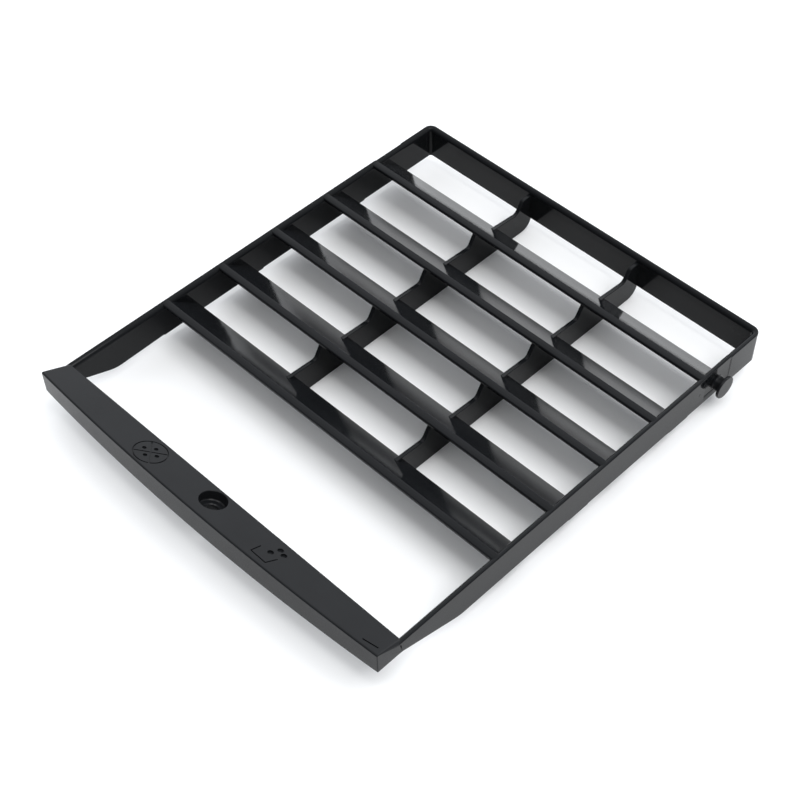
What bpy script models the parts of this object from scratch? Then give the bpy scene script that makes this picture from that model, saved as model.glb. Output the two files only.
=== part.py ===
"""Louvred guard frame: a moulded frame with slanted blades, webs and two pivot pins.

Axes: +X to the right along the front bar, +Y from the front bar to the rear
rail, +Z up.  The origin is the centre of the footprint, at the height of the
webs' lower edges, which the guard stands on.
"""

import math

import bmesh
import bpy
from mathutils import Vector

MM = 0.001
GAP = 0.3 * MM

# Frame
WIDTH = 150.0 * MM
REAR_FACE_Y = 89.6 * MM
RIM_Z = 16.85 * MM
RAIL_DEPTH = 12.45 * MM
WALL = 2.1 * MM
RIM_ROUNDING = 1.6 * MM
OUTER_EDGE = 0.4 * MM
CORNER_RADIUS = 3.0 * MM
CORNER_STEPS = 6

# Distances below are measured forward from the rear face, and down from the rim.
RAIL_START = 4.4 * MM
FRONT_END_LEFT = (150.8 * MM, 12.85 * MM, 7.0 * MM)  # taper start, depth there, depth at bar
FRONT_END_RIGHT = (142.6 * MM, 12.45 * MM, 5.1 * MM)
PAD_HEIGHT = 0.35 * MM
PADS_LEFT = ((36.5 * MM, 46.0 * MM), (85.5 * MM, 94.5 * MM), (120.5 * MM, 130.0 * MM))
PADS_RIGHT = ((36.5 * MM, 46.0 * MM), (85.5 * MM, 94.5 * MM))
RECESS = (15.8 * MM, 28.9 * MM)
RECESS_DEPTH = 0.25 * MM
RECESS_FLOOR = 9.7 * MM

# Front bar
BAR_REAR = 165.8 * MM
BAR_TIP = 175.9 * MM
BAR_BOW_TOP = 2.85 * MM
BAR_BOW_BOTTOM = 3.3 * MM
BAR_SLOPE = 0.374
BAR_BOTTOM = 5.05 * MM
BAR_STEPS = 20
BAR_WALL = 1.9 * MM
HOLE_X = 1.0 * MM
HOLE_DISTANCE = 170.7 * MM
HOLE_RADIUS = 4.4 * MM
HOLE_FLOOR = 3.4 * MM
SCREW_RADIUS = 2.3 * MM
BLOCK_HALF = 7.0 * MM

# Blades
BLADES = 5
PITCH = 24.24 * MM
BLADE_THICKNESS = 1.4 * MM
BLADE_TIP = (17.7 * MM, -8.5 * MM)
BLADE_CREASE = (28.66 * MM, 0.0)
BEAD_FRONT = 31.2 * MM
BEAD_DEPTH = 1.4 * MM

# Webs
WEB_X = 24.48 * MM
WEB_THICKNESS = 1.45 * MM
WEB_BOTTOM = 16.85 * MM
WEB_LOW = 6.0 * MM
WEB_HIGH = 2.0 * MM

# Pivot pins
PIN_DISTANCE = 22.2 * MM
PIN_DEPTH = 7.55 * MM
PIN_REACH = 78.4 * MM
SHAFT_RADIUS = 2.4 * MM
HEAD_RADIUS = 4.05 * MM
LEFT_HEAD_RADIUS = 3.1 * MM
HEAD_THICKNESS = 1.0 * MM


def clear_scene():
    for item in list(bpy.data.objects):
        bpy.data.objects.remove(item, do_unlink=True)


def make_material(name, colour, roughness):
    material = bpy.data.materials.new(name)
    material.use_nodes = True
    shader = material.node_tree.nodes["Principled BSDF"]
    shader.inputs["Base Color"].default_value = (*colour, 1.0)
    shader.inputs["Roughness"].default_value = roughness
    shader.inputs["Metallic"].default_value = 0.0
    return material


def add_object(name, mesh, material):
    item = bpy.data.objects.new(name, mesh)
    bpy.context.collection.objects.link(item)
    if material is not None and not mesh.materials:
        mesh.materials.append(material)
    return item


def finish_mesh(name, shape):
    bmesh.ops.recalc_face_normals(shape, faces=shape.faces)
    mesh = bpy.data.meshes.new(name)
    shape.to_mesh(mesh)
    shape.free()
    return mesh


def world_y(distance):
    """Y of a point that lies the given distance forward of the rear face."""
    return REAR_FACE_Y - distance


def skin(rings, name):
    """Close a row of matching rings of points into one body with flat ends."""
    shape = bmesh.new()
    loops = [[shape.verts.new(point) for point in ring] for ring in rings]
    for first, second in zip(loops, loops[1:]):
        count = len(first)
        for i in range(count):
            j = (i + 1) % count
            shape.faces.new((first[i], first[j], second[j], second[i]))
    shape.faces.new(list(reversed(loops[0])))
    shape.faces.new(loops[-1])
    return finish_mesh(name, shape)


def plate(outline, thickness, name):
    """Extrude an outline of (distance, height) points along X, centred on X = 0."""
    rings = []
    for x in (-thickness / 2, thickness / 2):
        rings.append([Vector((x, world_y(d), RIM_Z + z)) for d, z in outline])
    return skin(rings, name)


def rail_section(depth, recess):
    """Rail profile: (distance in from the outer face, height from the rim)."""
    low = -depth
    edge = OUTER_EDGE
    points = [(edge / 2, low), (0.0, low + edge / 2)]
    points.append((0.0, low * (RECESS_FLOOR + 0.2 * MM) / RAIL_DEPTH))
    points.append((recess, low * RECESS_FLOOR / RAIL_DEPTH))
    points.append((recess, -edge))
    points.append((recess + edge * 0.3, -edge * 0.3))
    points.append((recess + edge, 0.0))
    for step in range(4):
        angle = math.radians(90.0 - 30.0 * step)
        inset = WALL - RIM_ROUNDING + RIM_ROUNDING * math.cos(angle)
        height = -RIM_ROUNDING + RIM_ROUNDING * math.sin(angle)
        points.append((max(inset, recess + edge + 0.02 * MM), height))
    points.append((WALL, low + edge / 2))
    points.append((WALL - edge / 2, low))
    return points


def rail_stations(pads, front_end):
    """Stations along a side rail, which rises towards the bar: (distance, depth, recess)."""
    step = 0.15 * MM
    stations = [(RAIL_START, RAIL_DEPTH, 0.0)]
    stations.append((RECESS[0] - step, RAIL_DEPTH, 0.0))
    stations.append((RECESS[0] + step, RAIL_DEPTH, RECESS_DEPTH))
    stations.append((RECESS[1] - step, RAIL_DEPTH, RECESS_DEPTH))
    stations.append((RECESS[1] + step, RAIL_DEPTH, 0.0))
    for near, far in pads:
        stations.append((near - step, RAIL_DEPTH, 0.0))
        stations.append((near + step, RAIL_DEPTH + PAD_HEIGHT, 0.0))
        stations.append((far - step, RAIL_DEPTH + PAD_HEIGHT, 0.0))
        stations.append((far + step, RAIL_DEPTH, 0.0))
    taper_start, start_depth, end_depth = front_end
    stations.append((taper_start, start_depth, 0.0))
    stations.append((BAR_REAR - GAP, end_depth, 0.0))
    return stations


def make_side_rail(name, side, pads, front_end, material):
    rings = []
    for distance, depth, recess in rail_stations(pads, front_end):
        ring = []
        for inset, height in rail_section(depth, recess):
            x = side * (WIDTH / 2 - inset)
            ring.append(Vector((x, world_y(distance), RIM_Z + height)))
        rings.append(ring)
    return add_object(name, skin(rings, name), material)


def corner_path():
    """Outer line of the rear rail with its two rounded corners: (point, inward)."""
    half = WIDTH / 2
    radius = CORNER_RADIUS
    path = [(Vector((-half, world_y(RAIL_START - GAP), 0.0)), Vector((1.0, 0.0, 0.0)))]
    for side in (-1, 1):
        centre = Vector((side * (half - radius), REAR_FACE_Y - radius, 0.0))
        for step in range(CORNER_STEPS + 1):
            turn = math.radians(90.0 * step / CORNER_STEPS)
            angle = math.pi - turn if side < 0 else math.pi / 2 - turn
            out = Vector((math.cos(angle), math.sin(angle), 0.0))
            path.append((centre + out * radius, -out))
    path.append((Vector((half, world_y(RAIL_START - GAP), 0.0)), Vector((-1.0, 0.0, 0.0))))
    return path


def make_rear_rail(material):
    rings = []
    for point, inward in corner_path():
        ring = []
        for inset, height in rail_section(RAIL_DEPTH, 0.0):
            ring.append(point + inward * inset + Vector((0.0, 0.0, RIM_Z + height)))
        rings.append(ring)
    return add_object("rail_rear", skin(rings, "rail_rear"), material)


def bow(x, amount):
    """Forward bulge of the bar's front edge at x, on a shallow parabola."""
    return amount * (1.0 - (x / (WIDTH / 2)) ** 2)


def bar_solid(name, inset, x_from, x_to, extra_low):
    """Wedge under the sloping top: the bar itself, or a pocket inside it."""
    rings = []
    for step in range(BAR_STEPS + 1):
        x = x_from + (x_to - x_from) * step / BAR_STEPS
        rear = world_y(BAR_REAR + inset)
        top_y = world_y(BAR_TIP - inset + bow(x, BAR_BOW_TOP))
        low_y = world_y(BAR_TIP - inset + bow(x, BAR_BOW_BOTTOM))
        low = RIM_Z - BAR_BOTTOM - extra_low
        rise = (rear - top_y) * BAR_SLOPE
        base = RIM_Z - inset * (1.0 - BAR_SLOPE)
        rings.append([
            Vector((x, rear, low)),
            Vector((x, rear, base)),
            Vector((x, top_y, base + rise)),
            Vector((x, low_y, low)),
        ])
    return skin(rings, name)


def make_cutter(name, mesh):
    cutter = add_object(name, mesh, None)
    cutter.hide_render = True
    cutter.display_type = "WIRE"
    return cutter


def disc_cutter(name, radius, low, high, tilt):
    shape = bmesh.new()
    bmesh.ops.create_cone(
        shape,
        cap_ends=True,
        segments=40,
        radius1=radius,
        radius2=radius,
        depth=high - low,
    )
    bmesh.ops.translate(shape, verts=shape.verts, vec=(0.0, 0.0, (high + low) / 2))
    cutter = make_cutter(name, finish_mesh(name, shape))
    height = (HOLE_DISTANCE - BAR_REAR) * BAR_SLOPE
    cutter.location = (HOLE_X, world_y(HOLE_DISTANCE), RIM_Z + height)
    cutter.rotation_euler = (tilt, 0.0, 0.0)
    return cutter


def cut(item, cutter):
    modifier = item.modifiers.new(cutter.name, "BOOLEAN")
    modifier.operation = "DIFFERENCE"
    modifier.solver = "EXACT"
    modifier.object = cutter


def make_front_bar(material):
    """Wedge bar: sloping top, bowed front, pockets below, counterbored hole."""
    half = WIDTH / 2
    bar = add_object("front_bar", bar_solid("front_bar", 0.0, -half, half, 0.0), material)
    ends = (
        ("pocket_left", -half + BAR_WALL, HOLE_X - BLOCK_HALF),
        ("pocket_right", HOLE_X + BLOCK_HALF, half - BAR_WALL),
    )
    for name, x_from, x_to in ends:
        mesh = bar_solid(name, BAR_WALL, x_from, x_to, 1.0 * MM)
        cut(bar, make_cutter(name, mesh))
    tilt = -math.atan(BAR_SLOPE)
    cut(bar, disc_cutter("counterbore", HOLE_RADIUS, -HOLE_FLOOR, 3.0 * MM, tilt))
    cut(bar, disc_cutter("screw_hole", SCREW_RADIUS, -12.0 * MM, 2.0 * MM, tilt))
    return bar


def blade_outline():
    """Blade profile, first blade: slanted plate with a flat-topped bead in front."""
    crease = Vector(BLADE_CREASE)
    tip = Vector(BLADE_TIP)
    along = (tip - crease).normalized()
    under = Vector((-along.y, along.x)) * BLADE_THICKNESS
    if under.y > 0.0:
        under = -under
    start = crease + under
    foot = start + along * ((-BEAD_DEPTH - start.y) / along.y)
    end = tip + under
    points = [tip, crease]
    for turn in (90.0, 135.0, 180.0):
        x = BEAD_FRONT - 0.6 * MM - 0.6 * MM * math.cos(math.radians(turn))
        y = -0.6 * MM + 0.6 * MM * math.sin(math.radians(turn))
        points.append(Vector((x, y)))
    points.append(Vector((BEAD_FRONT, -BEAD_DEPTH + 0.2 * MM)))
    points.append(Vector((BEAD_FRONT - 0.2 * MM, -BEAD_DEPTH)))
    points.append(foot)
    points.append(end)
    return [(point.x, point.y) for point in points]


def make_blades(material):
    length = WIDTH - 2 * (WALL + GAP)
    mesh = plate(blade_outline(), length, "blade")
    for number in range(BLADES):
        blade = add_object(f"blade_{number + 1}", mesh, material)
        blade.location.y = -PITCH * number


def smooth_step(start, end, share):
    turn = (1.0 - math.cos(math.pi * share)) / 2
    return start + (end - start) * turn


def web_front():
    """Front boundary of a web: down the next blade's upper face, then straight down."""
    crease = Vector(BLADE_CREASE) + Vector((PITCH, 0.0))
    tip = Vector(BLADE_TIP) + Vector((PITCH, 0.0))
    along = (tip - crease).normalized()
    out = Vector((along.y, -along.x)) * GAP
    if out.y < 0.0:
        out = -out
    meet = crease + along * ((-WEB_LOW * 0.92 - crease.y) / along.y) + out
    lower = tip + along * GAP * 0.6 + out
    drop = lower.x - GAP
    return [(meet.x, meet.y), (lower.x, lower.y), (drop, lower.y - 0.6 * MM), (drop, -WEB_BOTTOM)]


def web_outline():
    """Web between two blades: under the bead, an S down to the low top edge."""
    crease = Vector(BLADE_CREASE)
    tip = Vector(BLADE_TIP)
    along = (tip - crease).normalized()
    under = Vector((along.y, -along.x)).normalized() * (BLADE_THICKNESS + GAP)
    if under.y > 0.0:
        under = -under
    start = crease + under
    head = start + along * ((-WEB_HIGH - start.y) / along.y)
    rear = tip + under
    points = [(rear.x, rear.y), (head.x, -WEB_HIGH), (30.1 * MM, -WEB_HIGH)]
    for step in range(1, 7):
        share = step / 6
        distance = 30.1 * MM + 4.2 * MM * share
        points.append((distance, smooth_step(-WEB_HIGH, -WEB_LOW, share)))
    points.extend(web_front())
    points.append((rear.x, -WEB_BOTTOM))
    return points


def rear_web_outline():
    """Web against the rear rail: rim level first, and a rounded lower corner."""
    near = WALL + GAP
    points = [(near, -WEB_HIGH), (5.4 * MM, -WEB_HIGH)]
    for step in range(1, 7):
        share = step / 6
        distance = 5.4 * MM + 4.2 * MM * share
        points.append((distance, smooth_step(-WEB_HIGH, -WEB_LOW - 0.4 * MM, share)))
    front = [(distance - PITCH, height) for distance, height in web_front()]
    points.extend(front)
    for step in range(7):
        turn = math.radians(90.0 * step / 6)
        distance = 6.6 * MM - (6.6 * MM - near) * math.sin(turn)
        height = -WEB_BOTTOM + (WEB_BOTTOM - RAIL_DEPTH) * (1.0 - math.cos(turn))
        points.append((distance, height))
    return points


def make_webs(material):
    rear_mesh = plate(rear_web_outline(), WEB_THICKNESS, "web_rear")
    mesh = plate(web_outline(), WEB_THICKNESS, "web")
    for side, x in (("left", -WEB_X), ("right", WEB_X)):
        web = add_object(f"web_{side}_1", rear_mesh, material)
        web.location.x = x
        for number in range(1, BLADES):
            web = add_object(f"web_{side}_{number + 1}", mesh, material)
            web.location = (x, -PITCH * (number - 1), 0.0)


def pin_mesh(name, head_radius):
    """Turned pin along X from its root: foot, shaft and disc head."""
    root = WIDTH / 2 - RECESS_DEPTH + GAP
    head = PIN_REACH - HEAD_THICKNESS
    edge = 0.2 * MM
    profile = [(root, 0.0), (root, SHAFT_RADIUS + 0.5 * MM), (root + 0.5 * MM, SHAFT_RADIUS)]
    profile += [(head, SHAFT_RADIUS), (head, head_radius - edge), (head + edge, head_radius)]
    profile += [(PIN_REACH - edge, head_radius), (PIN_REACH, head_radius - edge)]
    profile.append((PIN_REACH, 0.0))
    shape = bmesh.new()
    verts = [shape.verts.new((x, 0.0, radius)) for x, radius in profile]
    edges = [shape.edges.new(pair) for pair in zip(verts, verts[1:])]
    bmesh.ops.spin(
        shape,
        geom=verts + edges,
        cent=(0.0, 0.0, 0.0),
        axis=(1.0, 0.0, 0.0),
        angle=math.tau,
        steps=32,
        use_merge=True,
    )
    bmesh.ops.remove_doubles(shape, verts=shape.verts, dist=0.00001)
    mesh = finish_mesh(name, shape)
    mesh.shade_smooth()
    mesh.set_sharp_from_angle(angle=math.radians(35.0))
    return mesh


def make_pins(material):
    """Headed pin on each side rail; the left head is the smaller one."""
    heads = {"pivot_pin_right": (HEAD_RADIUS, 0.0), "pivot_pin_left": (LEFT_HEAD_RADIUS, math.pi)}
    for name, (head_radius, turn) in heads.items():
        pin = add_object(name, pin_mesh(name, head_radius), material)
        pin.location = (0.0, world_y(PIN_DISTANCE), RIM_Z - PIN_DEPTH)
        pin.rotation_euler = (0.0, 0.0, turn)


def main():
    clear_scene()
    rail = make_material("frame_black", (0.012, 0.013, 0.014), 0.24)
    bar = make_material("bar_black", (0.014, 0.015, 0.017), 0.34)
    blade = make_material("blade_black", (0.012, 0.013, 0.014), 0.20)
    web = make_material("web_black", (0.012, 0.013, 0.014), 0.28)
    pin = make_material("pin_black", (0.013, 0.013, 0.014), 0.36)
    make_side_rail("rail_left", -1, PADS_LEFT, FRONT_END_LEFT, rail)
    make_side_rail("rail_right", 1, PADS_RIGHT, FRONT_END_RIGHT, rail)
    make_rear_rail(rail)
    make_front_bar(bar)
    make_blades(blade)
    make_webs(web)
    make_pins(pin)


main()
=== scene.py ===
"""Looks of the louvred guard frame: filleted mouldings, marks, gloss black finish, studio."""

import math

import bmesh
import bpy
from mathutils import Matrix, Vector

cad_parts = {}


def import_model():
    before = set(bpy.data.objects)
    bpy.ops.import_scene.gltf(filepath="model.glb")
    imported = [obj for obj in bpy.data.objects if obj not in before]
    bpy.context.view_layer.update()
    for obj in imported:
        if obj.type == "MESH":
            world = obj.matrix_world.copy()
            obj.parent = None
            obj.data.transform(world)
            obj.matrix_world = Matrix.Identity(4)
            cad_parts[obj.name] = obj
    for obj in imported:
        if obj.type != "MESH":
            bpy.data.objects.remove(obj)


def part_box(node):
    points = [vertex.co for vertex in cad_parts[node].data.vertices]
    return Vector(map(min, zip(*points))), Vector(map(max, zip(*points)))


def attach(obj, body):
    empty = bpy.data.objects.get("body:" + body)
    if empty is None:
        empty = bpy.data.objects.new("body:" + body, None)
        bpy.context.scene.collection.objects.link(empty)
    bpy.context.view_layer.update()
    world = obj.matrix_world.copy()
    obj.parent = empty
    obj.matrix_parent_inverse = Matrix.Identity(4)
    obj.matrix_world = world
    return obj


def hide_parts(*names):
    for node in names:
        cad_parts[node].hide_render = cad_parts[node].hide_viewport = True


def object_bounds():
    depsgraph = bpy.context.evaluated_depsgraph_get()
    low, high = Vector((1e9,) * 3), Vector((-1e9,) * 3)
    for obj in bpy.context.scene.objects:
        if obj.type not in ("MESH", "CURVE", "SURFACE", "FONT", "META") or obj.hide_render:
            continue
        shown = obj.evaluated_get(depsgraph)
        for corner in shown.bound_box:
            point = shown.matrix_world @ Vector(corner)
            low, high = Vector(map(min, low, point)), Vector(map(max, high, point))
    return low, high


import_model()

MM = 0.001
CAD_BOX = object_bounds()
ROOT = "root"

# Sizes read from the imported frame
REAR_LOW, REAR_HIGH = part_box("rail_rear")
RAIL_LOW, RAIL_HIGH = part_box("rail_left")
BLADE_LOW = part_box("blade_1")[0]
WEB_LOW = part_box("web_left_2")[0]
BAR_LOW, BAR_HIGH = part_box("front_bar")

HALF = REAR_HIGH[0]
REAR_Y = REAR_HIGH[1]
RIM_Z = REAR_HIGH[2]
RAIL_DEPTH = RIM_Z - REAR_LOW[2]
WALL = RAIL_HIGH[0] - RAIL_LOW[0]
PITCH = BLADE_LOW[1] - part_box("blade_2")[0][1]
GAP = 0.3 * MM
RAIL_START = REAR_Y - REAR_LOW[1] + GAP / 2
BAR_REAR = REAR_Y - BAR_HIGH[1]
BAR_BOTTOM = RIM_Z - BAR_LOW[2]
BLADES = 5

# Rails; a taper is its start, the depth there and the depth at the bar
CORNER_RADIUS = 3.0 * MM
CORNER_STEPS = 14
OUTER_FILLET = 0.45 * MM
INNER_FILLET = 1.6 * MM
LOWER_FILLET = 0.3 * MM
RECESS = (15.8 * MM, 28.9 * MM)
RECESS_DEPTH = 0.25 * MM
RECESS_FLOOR = 9.6 * MM
RECESS_RAMP = 0.3 * MM
PAD_HEIGHT = 0.35 * MM
PAD_RAMP = 0.15 * MM
PADS_LEFT = ((36.5 * MM, 46.0 * MM), (85.5 * MM, 94.5 * MM), (120.5 * MM, 130.0 * MM))
PADS_RIGHT = ((36.5 * MM, 46.0 * MM), (85.5 * MM, 94.5 * MM))
TAPER_LEFT = (150.8 * MM, 12.9 * MM, 7.2 * MM)
TAPER_RIGHT = (142.6 * MM, 12.5 * MM, 5.2 * MM)
TAPER_EASE = 1.2 * MM
GATE_MARK = (31.4 * MM, 6.4 * MM)

# The rails' ends, which run into the bar
LAP = 1.5 * MM
LAP_INSET = 0.005 * MM
DIP = 1.8 * MM
DIP_INSET = 0.35 * MM
DIP_WIDTH = 0.7
DIP_HEIGHT = 0.85
DIP_DEPTH = 0.8

# Front bar
BAR_TIP = 175.9 * MM
BAR_BOW_TOP = 2.85 * MM
BAR_BOW_BOTTOM = 3.3 * MM
BAR_SLOPE = 0.374
BAR_STEPS = 64
BAR_FILLET = 0.5 * MM
BAR_WALL = 1.9 * MM
END_FILLET_REAR = 1.4 * MM
END_FILLET_FRONT = 0.35 * MM
HOLE_X = 1.0 * MM
HOLE_DISTANCE = 170.7 * MM
HOLE_RADIUS = 4.4 * MM
HOLE_LIP = 0.35 * MM
HOLE_FLOOR = 3.4 * MM
HOLE_CHAMFER = 0.3 * MM
SCREW_RADIUS = 2.3 * MM
SCREW_DEPTH = 13.0 * MM
BLOCK_HALF = 7.0 * MM

# Marks, in the sloping plane: x, and the distance towards the front from the hole.
# The dots count from the ring's centre.
MARK_DEPTH = 0.45 * MM
MARK_WIDTH = 0.42 * MM
MARK_RISE = 0.5 * MM
DOT_RADIUS = 0.7 * MM
DOTS = ((-2.7 * MM, 0.2 * MM), (-0.2 * MM, -2.4 * MM), (2.6 * MM, -0.3 * MM), (0.2 * MM, 2.3 * MM))
RING_CENTRE = (-26.1 * MM, 1.6 * MM)
RING_RADIUS = 5.4 * MM
RING_DIAGONAL = 0.71
TRAY = ((23.8 * MM, 2.0 * MM), (23.7 * MM, 5.7 * MM), (29.9 * MM, 5.8 * MM), (30.8 * MM, 1.9 * MM))
GRAINS = ((27.5 * MM, 1.4 * MM), (28.5 * MM, -1.7 * MM), (30.7 * MM, -0.9 * MM))
GRAIN_RADIUS = 1.0 * MM
SLIT = ((68.0 * MM, 3.95 * MM), (72.8 * MM, 2.9 * MM))
SLIT_WIDTH = 0.55 * MM
SLIT_DEPTH = 0.5 * MM

# Blades
BLADE_THICKNESS = 1.4 * MM
BLADE_TIP = (17.7 * MM, -8.5 * MM)
BLADE_CREASE = (28.66 * MM, 0.0)
BEAD_CROWN = 29.9 * MM
BEAD_FRONT = 31.2 * MM
BEAD_DEPTH = 1.4 * MM
BLADE_REACH = HALF - 0.9 * MM

# Ribs
RIB_START = 1.1 * MM
RIB_TOP = -2.2 * MM
RIB_BOTTOM = WEB_LOW[2] - RIM_Z
RIB_END = 116.3 * MM
RIB_FILLET = 0.22 * MM

# Pins
SHAFT_RADIUS = 2.4 * MM
FOOT_FILLET = 0.6 * MM
NECK_FILLET = 0.3 * MM
HEAD_THICKNESS = 1.0 * MM
HEAD_EDGE = 0.25 * MM

# Finish
PLASTIC_IOR = 1.5
PLASTIC_SPECULAR = 0.13
WEAR_RADIUS = 0.25 * MM
SCUFF = 0.12

# Camera: azimuth, elevation and roll in degrees
CAMERA_ANGLES = (43.93, 51.952, 0.209)
CAMERA_PLACE = (0.24226, -0.23909, 0.38498)
LENS = 70.306
SHIFT_X = -0.0383
SHIFT_Y = 0.1075

# Studio
FLOOR_REACH = 3.0
FLOOR_TONE = 0.92
FLOOR_DROP = 0.00005
LIGHT_DISTANCE = 2.0
WORLD_FRONT = (0.18, 0.19, 0.20)
WORLD_BACK = (1.45, 1.49, 1.54)
WORLD_HEADING = (-0.5, 0.8, 0.35)


# ---------------------------------------------------------------- outlines

def arc(centre, radius, start, end, steps):
    """Points on an arc, angles in degrees."""
    points = []
    for step in range(steps + 1):
        angle = math.radians(start + (end - start) * step / steps)
        across = centre[0] + radius * math.cos(angle)
        up = centre[1] + radius * math.sin(angle)
        points.append(Vector((across, up)))
    return points


def rounded(corners, steps=5):
    """Closed outline through corners (u, v, radius), with an arc at each corner."""
    points = []
    for i, (u, v, radius) in enumerate(corners):
        corner = Vector((u, v))
        if radius <= 0.0:
            points.append(corner)
            continue
        into = (corner - Vector(corners[i - 1][:2])).normalized()
        out = (Vector(corners[(i + 1) % len(corners)][:2]) - corner).normalized()
        half = (-into).angle(out) / 2
        centre = corner + (out - into).normalized() * (radius / math.sin(half))
        spoke = corner - into * (radius / math.tan(half)) - centre
        turn = (math.pi - 2 * half) * (1.0 if into.cross(out) > 0.0 else -1.0)
        for step in range(steps + 1):
            points.append(centre + Matrix.Rotation(turn * step / steps, 2) @ spoke)
    return points


def world(x, distance, height):
    """Point from x, distance in front of the rear face and height above the rim."""
    return Vector((x, REAR_Y - distance, RIM_Z + height))


# ---------------------------------------------------------------- meshes

def finish_mesh(name, shape):
    """Turn a bmesh into a mesh with its normals outwards."""
    bmesh.ops.recalc_face_normals(shape, faces=shape.faces)
    mesh = bpy.data.meshes.new(name)
    shape.to_mesh(mesh)
    shape.free()
    return mesh


def skin(name, rings):
    """Close a row of matching rings into one body with flat ends."""
    shape = bmesh.new()
    loops = [[shape.verts.new(point) for point in ring] for ring in rings]
    for first, second in zip(loops, loops[1:]):
        for i in range(len(first)):
            j = (i + 1) % len(first)
            shape.faces.new((first[i], first[j], second[j], second[i]))
    shape.faces.new(list(reversed(loops[0])))
    shape.faces.new(loops[-1])
    return finish_mesh(name, shape)


def turned(name, profile, steps):
    """Turn a profile of (radius, height) points round the Z axis."""
    shape = bmesh.new()
    verts = [shape.verts.new((radius, 0.0, height)) for radius, height in profile]
    edges = [shape.edges.new(pair) for pair in zip(verts, verts[1:])]
    bmesh.ops.spin(
        shape,
        geom=verts + edges,
        cent=(0.0, 0.0, 0.0),
        axis=(0.0, 0.0, 1.0),
        angle=math.tau,
        steps=steps,
        use_merge=True,
    )
    bmesh.ops.remove_doubles(shape, verts=shape.verts, dist=0.00001)
    return finish_mesh(name, shape)


def add_object(name, mesh):
    item = bpy.data.objects.new(name, mesh)
    bpy.context.collection.objects.link(item)
    return item


def add_piece(name, mesh, material, nodes=()):
    """Visible piece on the root body, in place of the CAD nodes named."""
    piece = add_object(name, mesh)
    piece.data.materials.append(material)
    piece.data.shade_smooth()
    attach(piece, ROOT)
    if nodes:
        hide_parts(*nodes)
    return piece


def round_edges(piece, width):
    bevel = piece.modifiers.new("edges", "BEVEL")
    bevel.width = width
    bevel.segments = 3
    bevel.limit_method = "ANGLE"
    bevel.angle_limit = math.radians(50.0)


def even_shading(piece, angle=40.0):
    """Keep flat faces flat in the gloss: sharp edges by angle, normals by face area."""
    piece.data.set_sharp_from_angle(angle=math.radians(angle))
    weighted = piece.modifiers.new("shading", "WEIGHTED_NORMAL")
    weighted.keep_sharp = True
    weighted.weight = 100


def bake_modifiers(piece):
    """Put the evaluated mesh in the piece, so that its cutters can go."""
    depsgraph = bpy.context.evaluated_depsgraph_get()
    mesh = bpy.data.meshes.new_from_object(piece.evaluated_get(depsgraph))
    old = piece.data
    piece.modifiers.clear()
    piece.data = mesh
    bpy.data.meshes.remove(old)


def cut(piece, meshes):
    """Cut the meshes out of the piece one after the other."""
    cutters = []
    for number, mesh in enumerate(meshes):
        cutter = add_object(f"{piece.name}_cutter_{number}", mesh)
        modifier = piece.modifiers.new(cutter.name, "BOOLEAN")
        modifier.operation = "DIFFERENCE"
        modifier.solver = "EXACT"
        modifier.object = cutter
        cutters.append(cutter)
    bake_modifiers(piece)
    for cutter in cutters:
        bpy.data.objects.remove(cutter, do_unlink=True)


# ---------------------------------------------------------------- rails

def rail_section(depth, recess):
    """Rail profile: inset from the outer face, height from the rim."""
    inner = min(INNER_FILLET, WALL - recess - OUTER_FILLET - 0.03 * MM)
    low = -depth
    floor = -RECESS_FLOOR * min(1.0, depth / RAIL_DEPTH)
    return rounded([
        (0.0, low, LOWER_FILLET),
        (0.0, floor - 0.25 * MM, 0.0),
        (recess, floor, 0.0),
        (recess, 0.0, OUTER_FILLET),
        (WALL, 0.0, inner),
        (WALL, low, LOWER_FILLET),
    ], steps=6)


def rail_ring(point, inward, depth, recess):
    return [point + inward * u + Vector((0.0, 0.0, v)) for u, v in rail_section(depth, recess)]


def side_stations(pads, taper):
    """Stations from the rear to the bar: distance, depth, recess."""
    depth = RAIL_DEPTH
    stations = [(RAIL_START, depth, 0.0)]
    stations += [(RECESS[0], depth, 0.0), (RECESS[0] + RECESS_RAMP, depth, RECESS_DEPTH)]
    stations += [(RECESS[1] - RECESS_RAMP, depth, RECESS_DEPTH), (RECESS[1], depth, 0.0)]
    for near, far in pads:
        stations += [(near - PAD_RAMP, depth, 0.0), (near + PAD_RAMP, depth + PAD_HEIGHT, 0.0)]
        stations += [(far - PAD_RAMP, depth + PAD_HEIGHT, 0.0), (far + PAD_RAMP, depth, 0.0)]
    start, start_depth, end_depth = taper
    slope = (start_depth - end_depth) / (BAR_REAR - start)
    ease = 2 * TAPER_EASE
    for turn in range(-2, 3):
        # Ease from the level stretch into the taper.
        reach = TAPER_EASE * turn
        rise = slope * (reach + ease) ** 2 / (4 * ease)
        stations.append((start + reach, start_depth - rise, 0.0))
    stations.append((BAR_REAR, end_depth, 0.0))
    return stations


def make_side_rail(name, side, pads, taper, material):
    rings = []
    inward = Vector((-side, 0.0, 0.0))
    for distance, depth, recess in side_stations(pads, taper):
        rings.append(rail_ring(world(side * HALF, distance, 0.0), inward, depth, recess))
    # The end runs past the bar's rear edge rounding, then dips into the bar, clear of its faces.
    lap = world(side * (HALF - LAP_INSET), BAR_REAR + LAP, -LAP_INSET)
    rings.append(rail_ring(lap, inward, min(taper[2], BAR_BOTTOM) - 2 * LAP_INSET, 0.0))
    end = world(side * (HALF - DIP_INSET), BAR_REAR + DIP, -DIP_INSET)
    shrunk = rail_section(taper[2] * DIP_DEPTH, 0.0)
    rings.append([end + inward * (u * DIP_WIDTH) + Vector((0.0, 0.0, v * DIP_HEIGHT)) for u, v in shrunk])
    even_shading(add_piece(name, skin(name, rings), material, [name]))


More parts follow.
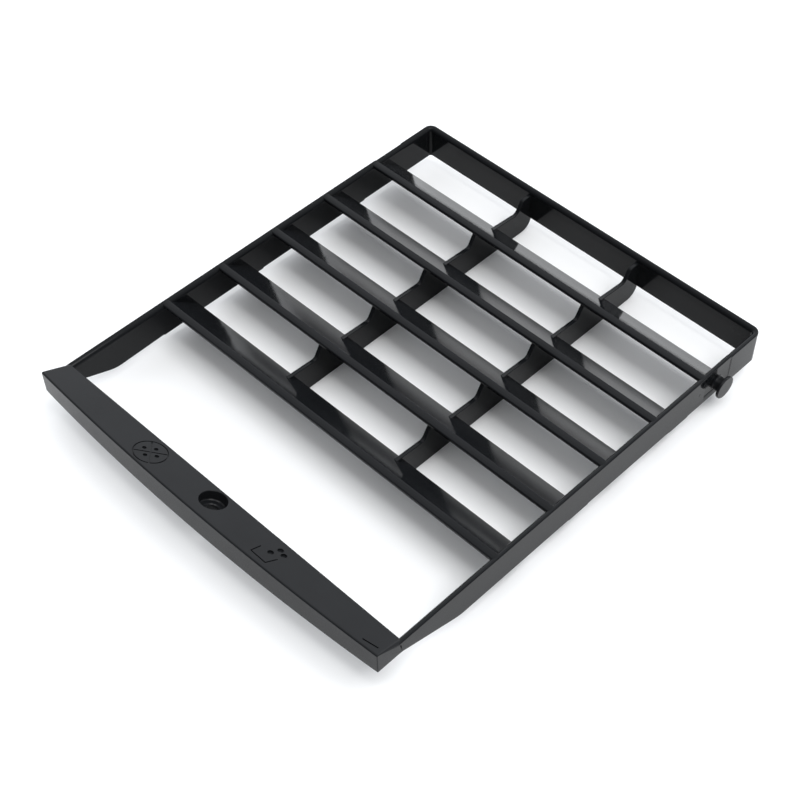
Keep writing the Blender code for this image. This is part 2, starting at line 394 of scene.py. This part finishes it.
def make_rear_rail(material):
    rings = [rail_ring(world(-HALF, RAIL_START, 0.0), Vector((1.0, 0.0, 0.0)), RAIL_DEPTH, 0.0)]
    for side in (-1, 1):
        centre = world(side * (HALF - CORNER_RADIUS), CORNER_RADIUS, 0.0)
        for step in range(CORNER_STEPS + 1):
            turn = math.pi / 2 * step / CORNER_STEPS
            angle = math.pi - turn if side < 0 else math.pi / 2 - turn
            out = Vector((math.cos(angle), math.sin(angle), 0.0))
            rings.append(rail_ring(centre + out * CORNER_RADIUS, -out, RAIL_DEPTH, 0.0))
    rings.append(rail_ring(world(HALF, RAIL_START, 0.0), Vector((-1.0, 0.0, 0.0)), RAIL_DEPTH, 0.0))
    even_shading(add_piece("rail_rear", skin("rail_rear", rings), material, ["rail_rear"]))


def make_gate_mark(side, material):
    """The small round witness of the moulding gate in a rail's outer face."""
    height = 0.05 * MM
    profile = [(0.0, height), (0.25 * MM, height * 0.8), (0.42 * MM, 0.0)]
    profile += [(0.5 * MM, -0.03 * MM), (0.62 * MM, 0.02 * MM), (0.75 * MM, -0.02 * MM), (0.0, -0.3 * MM)]
    name = "gate_mark_right" if side > 0 else "gate_mark_left"
    piece = add_piece(name, turned(name, profile, 28), material)
    turn = Matrix.Rotation(side * math.pi / 2, 4, "Y")
    place = Matrix.Translation(world(side * HALF, GATE_MARK[0], -GATE_MARK[1]))
    piece.data.transform(place @ turn)


# ---------------------------------------------------------------- front bar

def bow(x, amount):
    """How far the bar's front bulges at x: the full amount in the middle, none at the ends."""
    return amount * (1.0 - (x / HALF) ** 2)


def bar_section(x, inset=0.0, low=-BAR_BOTTOM, fillet=BAR_FILLET):
    """Bar profile at x as (distance, height): sloping top, leaning front face."""
    rear = BAR_REAR + inset
    top_front = BAR_TIP + bow(x, BAR_BOW_TOP) - inset
    low_front = BAR_TIP + bow(x, BAR_BOW_BOTTOM) - inset
    drop = inset * (1.0 + BAR_SLOPE) / math.sqrt(1.0 + BAR_SLOPE ** 2)
    return rounded([
        (rear, low, fillet * 0.6),
        (rear, (rear - BAR_REAR) * BAR_SLOPE - drop, fillet * 0.8),
        (top_front, (top_front - BAR_REAR) * BAR_SLOPE - drop, fillet),
        (low_front, low, fillet * 0.8),
    ], steps=5)


def end_radius(distance, height):
    """Radius of the edge between the bar's end and its long faces at a profile point."""
    share = min(1.0, max(0.0, (distance - BAR_REAR - 4.5 * MM) / (BAR_TIP - BAR_REAR - 5.0 * MM)))
    top = END_FILLET_REAR + (END_FILLET_FRONT - END_FILLET_REAR) * share
    on_top = max(0.0, min(1.0, (height + 1.5 * MM) / (1.2 * MM)))
    return END_FILLET_FRONT + (top - END_FILLET_FRONT) * on_top


def inward_normals(outline):
    """Unit normals into a closed outline that runs clockwise or anticlockwise."""
    area = sum(a.cross(b) for a, b in zip(outline, outline[1:] + outline[:1]))
    sign = 1.0 if area > 0.0 else -1.0
    normals = []
    for i in range(len(outline)):
        along = (outline[(i + 1) % len(outline)] - outline[i - 1]).normalized()
        normals.append(Vector((-along.y, along.x)) * sign)
    return normals


def bar_end_rings(side):
    """Rings that round the bar's end over, from the long faces to the end face."""
    outline = bar_section(side * HALF)
    normals = inward_normals(outline)
    rings = []
    for step in range(7):
        turn = math.pi / 2 * step / 6
        ring = []
        for point, normal in zip(outline, normals):
            radius = end_radius(point.x, point.y)
            moved = point + normal * radius * (1.0 - math.cos(turn))
            x = side * (HALF - radius * (1.0 - math.sin(turn)))
            ring.append(world(x, moved.x, moved.y))
        rings.append(ring)
    return rings


def bar_rings():
    rings = list(reversed(bar_end_rings(-1)))
    reach = HALF - END_FILLET_REAR - 0.2 * MM
    for step in range(BAR_STEPS + 1):
        x = -reach + 2 * reach * step / BAR_STEPS
        rings.append([world(x, d, z) for d, z in bar_section(x)])
    return rings + bar_end_rings(1)


def pocket(name, x_from, x_to):
    """Hollow under the bar between x_from and x_to, as a solid to cut with."""
    rings = []
    steps = 24
    for step in range(steps + 1):
        x = x_from + (x_to - x_from) * step / steps
        section = bar_section(x, BAR_WALL, -BAR_BOTTOM - 1.0 * MM, 0.6 * MM)
        rings.append([world(x, d, z) for d, z in section])
    return skin(name, rings)


def slope_matrix():
    """From the marks' plane (x, towards the front, up) to the world, at the hole."""
    tilt = math.atan(BAR_SLOPE)
    height = (HOLE_DISTANCE - BAR_REAR) * BAR_SLOPE
    place = Matrix.Translation(world(0.0, HOLE_DISTANCE, height))
    flip = Matrix.Diagonal((1.0, -1.0, 1.0, 1.0))
    return place @ Matrix.Rotation(-tilt, 4, "X") @ flip


def hole_cutter():
    """Screw recess: rounded lip, wall, floor with a small step, and the through hole."""
    lip = HOLE_LIP
    above = 1.0 * MM
    foot_radius = HOLE_RADIUS - 0.1 * MM
    profile = [(0.0, above), (HOLE_RADIUS + lip, above)]
    profile += [(p.x, p.y) for p in arc((HOLE_RADIUS + lip, -lip), lip, 90.0, 180.0, 5)]
    profile += [(foot_radius, HOLE_CHAMFER - HOLE_FLOOR), (foot_radius - HOLE_CHAMFER, -HOLE_FLOOR)]
    profile += [(SCREW_RADIUS + HOLE_CHAMFER, -HOLE_FLOOR), (SCREW_RADIUS, -HOLE_FLOOR - HOLE_CHAMFER)]
    profile += [(SCREW_RADIUS, -SCREW_DEPTH), (0.0, -SCREW_DEPTH)]
    mesh = turned("hole", profile, 72)
    mesh.transform(slope_matrix() @ Matrix.Translation((HOLE_X, 0.0, 0.0)))
    mesh.flip_normals()
    return mesh


def engraving(name, outlines, depth):
    """Solids that cut the outlines into the bar's sloping top."""
    shape = bmesh.new()
    for outline in outlines:
        low = [shape.verts.new((u, v, -depth)) for u, v in outline]
        high = [shape.verts.new((u, v, MARK_RISE)) for u, v in outline]
        for i in range(len(outline)):
            j = (i + 1) % len(outline)
            shape.faces.new((low[i], low[j], high[j], high[i]))
        shape.faces.new(low)
        shape.faces.new(high)
    shape.transform(slope_matrix())
    return finish_mesh(name, shape)


def ring_engraving(name, centre, radius, width, depth):
    inner, outer = radius - width / 2, radius + width / 2
    profile = [(inner, -depth), (outer, -depth)]
    profile += [(outer, MARK_RISE), (inner, MARK_RISE), (inner, -depth)]
    mesh = turned(name, profile, 72)
    mesh.transform(slope_matrix() @ Matrix.Translation((*centre, 0.0)))
    mesh.flip_normals()
    return mesh


def stroke(start, end, width=MARK_WIDTH):
    """Outline of a straight stroke with round ends."""
    start, end = Vector(start), Vector(end)
    heading = math.degrees(math.atan2(end.y - start.y, end.x - start.x))
    outline = arc(end, width / 2, heading - 90.0, heading + 90.0, 5)
    outline += arc(start, width / 2, heading + 90.0, heading + 270.0, 5)
    return outline


def mark_meshes():
    """Generic marks; depths differ a little so that no two cutters share a floor."""
    centre = Vector(RING_CENTRE)
    reach = RING_RADIUS * RING_DIAGONAL
    across = Vector((reach, reach))
    along = Vector((reach, -reach))
    dots = [arc(centre + Vector(spot), DOT_RADIUS, 0.0, 345.0, 23) for spot in DOTS]
    grains = [arc(spot, GRAIN_RADIUS, 0.0, 345.0, 23) for spot in GRAINS]
    return [
        ring_engraving("ring", centre, RING_RADIUS, MARK_WIDTH, MARK_DEPTH),
        engraving("stroke_a", [stroke(centre - across, centre + across)], MARK_DEPTH * 1.1),
        engraving("stroke_b", [stroke(centre - along, centre + along)], MARK_DEPTH * 1.2),
        engraving("dots", dots, MARK_DEPTH * 1.3),
        engraving("tray_left", [stroke(TRAY[0], TRAY[1])], MARK_DEPTH * 1.1),
        engraving("tray_right", [stroke(TRAY[2], TRAY[3])], MARK_DEPTH * 1.2),
        engraving("tray_floor", [stroke(TRAY[1], TRAY[2])], MARK_DEPTH),
        engraving("grains", grains, MARK_DEPTH * 1.4),
        engraving("slit", [stroke(SLIT[0], SLIT[1], SLIT_WIDTH)], SLIT_DEPTH),
    ]


def level_top(mesh):
    """Give the sloping top one normal, so that the hole and marks don't smear its gloss."""
    top = (slope_matrix().to_3x3() @ Vector((0.0, 0.0, 1.0))).normalized()
    normals = [corner.vector.copy() for corner in mesh.corner_normals]
    for face in mesh.polygons:
        if face.normal.angle(top, math.pi) < math.radians(1.0):
            for corner in face.loop_indices:
                normals[corner] = top
    mesh.normals_split_custom_set(normals)


def make_front_bar(material):
    bar = add_piece("front_bar", skin("front_bar", bar_rings()), material, ["front_bar"])
    cutters = [
        pocket("pocket_left", -HALF + BAR_WALL, HOLE_X - BLOCK_HALF),
        pocket("pocket_right", HOLE_X + BLOCK_HALF, HALF - BAR_WALL),
        hole_cutter(),
    ]
    cut(bar, cutters + mark_meshes())
    bar.data.shade_smooth()
    even_shading(bar, 35.0)
    bake_modifiers(bar)
    level_top(bar.data)


# ---------------------------------------------------------------- blades and ribs

def blade_directions():
    """Unit vectors down the blade and from its upper face to its underside."""
    along = (Vector(BLADE_TIP) - Vector(BLADE_CREASE)).normalized()
    under = Vector((-along.y, along.x))
    return along, under if under.y < 0.0 else -under


def blade_outline():
    along, under = blade_directions()
    tip = Vector(BLADE_TIP)
    crease = Vector(BLADE_CREASE)
    start = crease + under * BLADE_THICKNESS
    foot = start + along * ((-BEAD_DEPTH - start.y) / along.y)
    end = tip + under * BLADE_THICKNESS
    return rounded([
        (tip.x, tip.y, 0.25 * MM),
        (crease.x, crease.y - 0.06 * MM, 0.45 * MM),
        (BEAD_CROWN, 0.0, 0.9 * MM),
        (BEAD_FRONT, -0.12 * MM, 0.55 * MM),
        (BEAD_FRONT, -BEAD_DEPTH, 0.2 * MM),
        (foot.x, foot.y, 0.25 * MM),
        (end.x, end.y, 0.25 * MM),
    ], steps=5)


def make_blades(material):
    outline = blade_outline()
    for number in range(BLADES):
        name = f"blade_{number + 1}"
        shift = PITCH * number
        rings = [[world(x, d + shift, z) for d, z in outline] for x in (-BLADE_REACH, BLADE_REACH)]
        piece = add_piece(name, skin(name, rings), material, [name])
        even_shading(piece)


def rib_outline():
    """One rib from the rear rail to under the last blade, through all the blades."""
    along, under = blade_directions()
    middle = Vector(BLADE_CREASE) + under * (BLADE_THICKNESS / 2)
    entry = middle + along * ((-5.6 * MM - middle.y) / along.y)
    corners = [(RIB_START, RIB_TOP, 0.0), (6.1 * MM, RIB_TOP, 1.6 * MM), (8.9 * MM, -6.8 * MM, 1.8 * MM)]
    for number in range(BLADES - 1):
        shift = PITCH * number
        corners.append((entry.x + shift, entry.y, 0.0))
        corners.append((middle.x + shift, middle.y, 0.0))
        corners.append((30.3 * MM + shift, -1.1 * MM, 0.8 * MM))
        corners.append((33.35 * MM + shift, -6.35 * MM, 1.7 * MM))
    last_shift = PITCH * (BLADES - 1)
    corners.append((entry.x + last_shift, entry.y, 0.0))
    leaving = middle + along * ((RIB_END - last_shift - middle.x) / along.x)
    corners.append((RIB_END, leaving.y, 0.0))
    corners.append((RIB_END, RIB_BOTTOM, 1.2 * MM))
    corners.append((1.2 * MM, RIB_BOTTOM, 4.8 * MM))
    corners.append((RIB_START, -RAIL_DEPTH + 1.0 * MM, 0.0))
    return rounded(corners, steps=8)


def make_ribs(material):
    outline = rib_outline()
    for side in ("left", "right"):
        low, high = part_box(f"web_{side}_2")
        nodes = [f"web_{side}_{number + 1}" for number in range(BLADES)]
        rings = [[world(x, d, z) for d, z in outline] for x in (low[0], high[0])]
        piece = add_piece(f"rib_{side}", skin(f"rib_{side}", rings), material, nodes)
        round_edges(piece, RIB_FILLET)
        even_shading(piece)


# ---------------------------------------------------------------- pins

def pin_profile(head_radius, reach):
    """Half profile of a pin as (radius, distance out): foot, shaft and disc head."""
    head = reach - HEAD_THICKNESS
    foot_radius = SHAFT_RADIUS + FOOT_FILLET
    foot_end = HALF - 0.22 * MM
    rounds = arc((foot_radius, foot_end + FOOT_FILLET), FOOT_FILLET, 270.0, 180.0, 5)
    rounds += arc((SHAFT_RADIUS + NECK_FILLET, head - NECK_FILLET), NECK_FILLET, 180.0, 90.0, 4)
    rounds += arc((head_radius - HEAD_EDGE, head + HEAD_EDGE), HEAD_EDGE, 270.0, 360.0, 4)
    rounds += arc((head_radius - HEAD_EDGE, reach - HEAD_EDGE), HEAD_EDGE, 0.0, 90.0, 4)
    root = HALF - 1.0 * MM
    profile = [(0.0, root), (foot_radius, root), (foot_radius, foot_end)]
    profile += [(p.x, p.y) for p in rounds]
    return profile + [(head_radius * 0.55, reach), (0.0, reach)]


def make_pins(material):
    for name, side in (("pivot_pin_right", 1), ("pivot_pin_left", -1)):
        low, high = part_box(name)
        reach = max(abs(low[0]), abs(high[0]))
        mesh = turned(name, pin_profile((high[2] - low[2]) / 2, reach), 64)
        turn = Matrix.Rotation(side * math.pi / 2, 4, "Y")
        centre = (0.0, (low[1] + high[1]) / 2, (low[2] + high[2]) / 2)
        mesh.transform(Matrix.Translation(centre) @ turn)
        piece = add_piece(name, mesh, material, [name])
        even_shading(piece)


# ---------------------------------------------------------------- materials

def node(tree, kind, **inputs):
    """New node with constants on its inputs, named with _ for a space."""
    item = tree.nodes.new(kind)
    for name, value in inputs.items():
        item.inputs[name.replace("_", " ")].default_value = value
    return item


def ramp(tree, source, low, high, colours):
    """Colour ramp from low to high on a 0 to 1 source."""
    item = tree.nodes.new("ShaderNodeValToRGB")
    for element, place, colour in zip(item.color_ramp.elements, (low, high), colours):
        element.position = place
        element.color = (*colour, 1.0)
    tree.links.new(source, item.inputs["Fac"])
    return item


def moulded_black(name, colour, worn, rough, grain, waves):
    """Black moulded plastic: faint tone drift, uneven gloss, grain, waviness, edge wear."""
    material = bpy.data.materials.new(name)
    material.use_nodes = True
    tree = material.node_tree
    shader = tree.nodes["Principled BSDF"]
    shader.inputs["IOR"].default_value = PLASTIC_IOR
    shader.inputs["Specular IOR Level"].default_value = PLASTIC_SPECULAR
    place = node(tree, "ShaderNodeTexCoord").outputs["Object"]

    drift = node(tree, "ShaderNodeTexNoise", Scale=55.0, Detail=3.0)
    haze = node(tree, "ShaderNodeTexNoise", Scale=180.0, Detail=5.0, Roughness=0.6)
    fine = node(tree, "ShaderNodeTexNoise", Scale=5200.0, Detail=2.0)
    swell = node(tree, "ShaderNodeTexNoise", Scale=140.0, Detail=1.0)
    for item in (drift, haze, fine, swell):
        tree.links.new(place, item.inputs["Vector"])

    tone = ramp(tree, drift.outputs["Fac"], 0.3, 0.7, (colour, tuple(c * 1.25 for c in colour)))
    softened = node(tree, "ShaderNodeBevel", Radius=WEAR_RADIUS)
    softened.samples = 4
    likeness = tree.nodes.new("ShaderNodeVectorMath")
    likeness.operation = "DOT_PRODUCT"
    tree.links.new(softened.outputs["Normal"], likeness.inputs[0])
    tree.links.new(tree.nodes.new("ShaderNodeNewGeometry").outputs["Normal"], likeness.inputs[1])
    wear = ramp(tree, likeness.outputs["Value"], 0.80, 0.98, ((1.0, 1.0, 1.0), (0.0, 0.0, 0.0)))
    patchy = node(tree, "ShaderNodeMath")
    patchy.operation = "MULTIPLY"
    tree.links.new(wear.outputs["Color"], patchy.inputs[0])
    tree.links.new(haze.outputs["Fac"], patchy.inputs[1])
    paint = node(tree, "ShaderNodeMix")
    paint.data_type = "RGBA"
    tree.links.new(patchy.outputs[0], paint.inputs["Factor"])
    tree.links.new(tone.outputs["Color"], paint.inputs["A"])
    paint.inputs["B"].default_value = (*worn, 1.0)
    tree.links.new(paint.outputs["Result"], shader.inputs["Base Color"])

    gloss = node(tree, "ShaderNodeMapRange")
    gloss.inputs["From Min"].default_value = 0.3
    gloss.inputs["From Max"].default_value = 0.7
    gloss.inputs["To Min"].default_value = rough * 0.85
    gloss.inputs["To Max"].default_value = rough * 1.2
    tree.links.new(haze.outputs["Fac"], gloss.inputs["Value"])
    scuffed = node(tree, "ShaderNodeMath")
    scuffed.operation = "MULTIPLY_ADD"
    scuffed.inputs[1].default_value = SCUFF
    tree.links.new(patchy.outputs[0], scuffed.inputs[0])
    tree.links.new(gloss.outputs["Result"], scuffed.inputs[2])
    tree.links.new(scuffed.outputs[0], shader.inputs["Roughness"])

    wavy = node(tree, "ShaderNodeBump", Strength=waves, Distance=0.0004)
    tree.links.new(swell.outputs["Fac"], wavy.inputs["Height"])
    grainy = node(tree, "ShaderNodeBump", Strength=grain, Distance=0.00004)
    tree.links.new(fine.outputs["Fac"], grainy.inputs["Height"])
    tree.links.new(wavy.outputs["Normal"], grainy.inputs["Normal"])
    tree.links.new(grainy.outputs["Normal"], shader.inputs["Normal"])
    return material


def matt_white(name, tone):
    material = bpy.data.materials.new(name)
    material.use_nodes = True
    shader = material.node_tree.nodes["Principled BSDF"]
    shader.inputs["Base Color"].default_value = (tone, tone, tone, 1.0)
    shader.inputs["Roughness"].default_value = 0.9
    shader.inputs["Specular IOR Level"].default_value = 0.1
    return material


# ---------------------------------------------------------------- studio

def make_floor():
    shape = bmesh.new()
    bmesh.ops.create_grid(shape, x_segments=2, y_segments=2, size=FLOOR_REACH)
    floor = add_object("studio_floor", finish_mesh("studio_floor", shape))
    floor.location.z = CAD_BOX[0][2] - FLOOR_DROP
    floor.data.materials.append(matt_white("studio_floor", FLOOR_TONE))


def make_world(front, back, heading):
    """Soft tent of light: dim tone in front, bright tone behind, blended by direction."""
    world_data = bpy.data.worlds.new("studio")
    world_data.use_nodes = True
    tree = world_data.node_tree
    place = tree.nodes.new("ShaderNodeTexCoord").outputs["Generated"]
    facing = tree.nodes.new("ShaderNodeVectorMath")
    facing.operation = "DOT_PRODUCT"
    facing.inputs[1].default_value = Vector(heading).normalized()
    tree.links.new(place, facing.inputs[0])
    spread = node(tree, "ShaderNodeMapRange")
    spread.inputs["From Min"].default_value = -0.6
    spread.inputs["From Max"].default_value = 1.0
    tree.links.new(facing.outputs["Value"], spread.inputs["Value"])
    tone = ramp(tree, spread.outputs["Result"], 0.0, 1.0, (front, back))
    tone.color_ramp.interpolation = "EASE"
    tree.links.new(tone.outputs["Color"], tree.nodes["Background"].inputs["Color"])
    bpy.context.scene.world = world_data


def soft_box(name, direction, size, power):
    """Square area light that looks at the middle of the frame from a direction."""
    data = bpy.data.lights.new(name, "AREA")
    data.shape = "SQUARE"
    data.size = size
    data.energy = power
    lamp = bpy.data.objects.new(name, data)
    bpy.context.collection.objects.link(lamp)
    aim = Vector(direction).normalized()
    lamp.location = aim * LIGHT_DISTANCE
    lamp.rotation_euler = aim.to_track_quat("Z", "Y").to_euler()


def make_camera():
    """Camera at the viewing angle, with its picture centre shifted off the object's."""
    azimuth, elevation, roll = (math.radians(angle) for angle in CAMERA_ANGLES)
    right = Vector((math.cos(azimuth), math.sin(azimuth), 0.0))
    ahead = Vector((
        -math.sin(azimuth) * math.cos(elevation),
        math.cos(azimuth) * math.cos(elevation),
        -math.sin(elevation),
    ))
    up = right.cross(ahead)
    level = right * math.cos(roll) + up * math.sin(roll)
    upright = up * math.cos(roll) - right * math.sin(roll)
    data = bpy.data.cameras.new("camera")
    data.sensor_width = 36.0
    data.lens = LENS
    data.shift_x = SHIFT_X
    data.shift_y = SHIFT_Y
    data.clip_start = 0.01
    camera = bpy.data.objects.new("camera", data)
    bpy.context.collection.objects.link(camera)
    turn = Matrix((level, upright, -ahead)).transposed().to_4x4()
    camera.matrix_world = Matrix.Translation(CAMERA_PLACE) @ turn
    bpy.context.scene.camera = camera


def main():
    make_camera()
    gloss = moulded_black(
        "gloss_black", colour=(0.0055, 0.006, 0.0068), worn=(0.02, 0.021, 0.023),
        rough=0.09, grain=0.03, waves=0.015,
    )
    satin = moulded_black(
        "satin_black", colour=(0.008, 0.0085, 0.0095), worn=(0.024, 0.025, 0.027),
        rough=0.22, grain=0.08, waves=0.02,
    )
    make_side_rail("rail_left", -1, PADS_LEFT, TAPER_LEFT, gloss)
    make_side_rail("rail_right", 1, PADS_RIGHT, TAPER_RIGHT, gloss)
    make_rear_rail(gloss)
    make_gate_mark(1, gloss)
    make_gate_mark(-1, gloss)
    make_front_bar(satin)
    make_blades(gloss)
    make_ribs(gloss)
    make_pins(satin)
    make_floor()
    make_world(WORLD_FRONT, WORLD_BACK, WORLD_HEADING)
    soft_box("soft_box_right", (0.45, 0.05, 0.90), size=1.1, power=18.5)
    soft_box("soft_box_rear", (0.0, 0.80, 0.60), size=0.9, power=5.0)
    soft_box("soft_box_front", (0.0, -0.30, 0.95), size=0.9, power=8.0)
    bpy.context.scene.view_settings.view_transform = "Standard"


main()
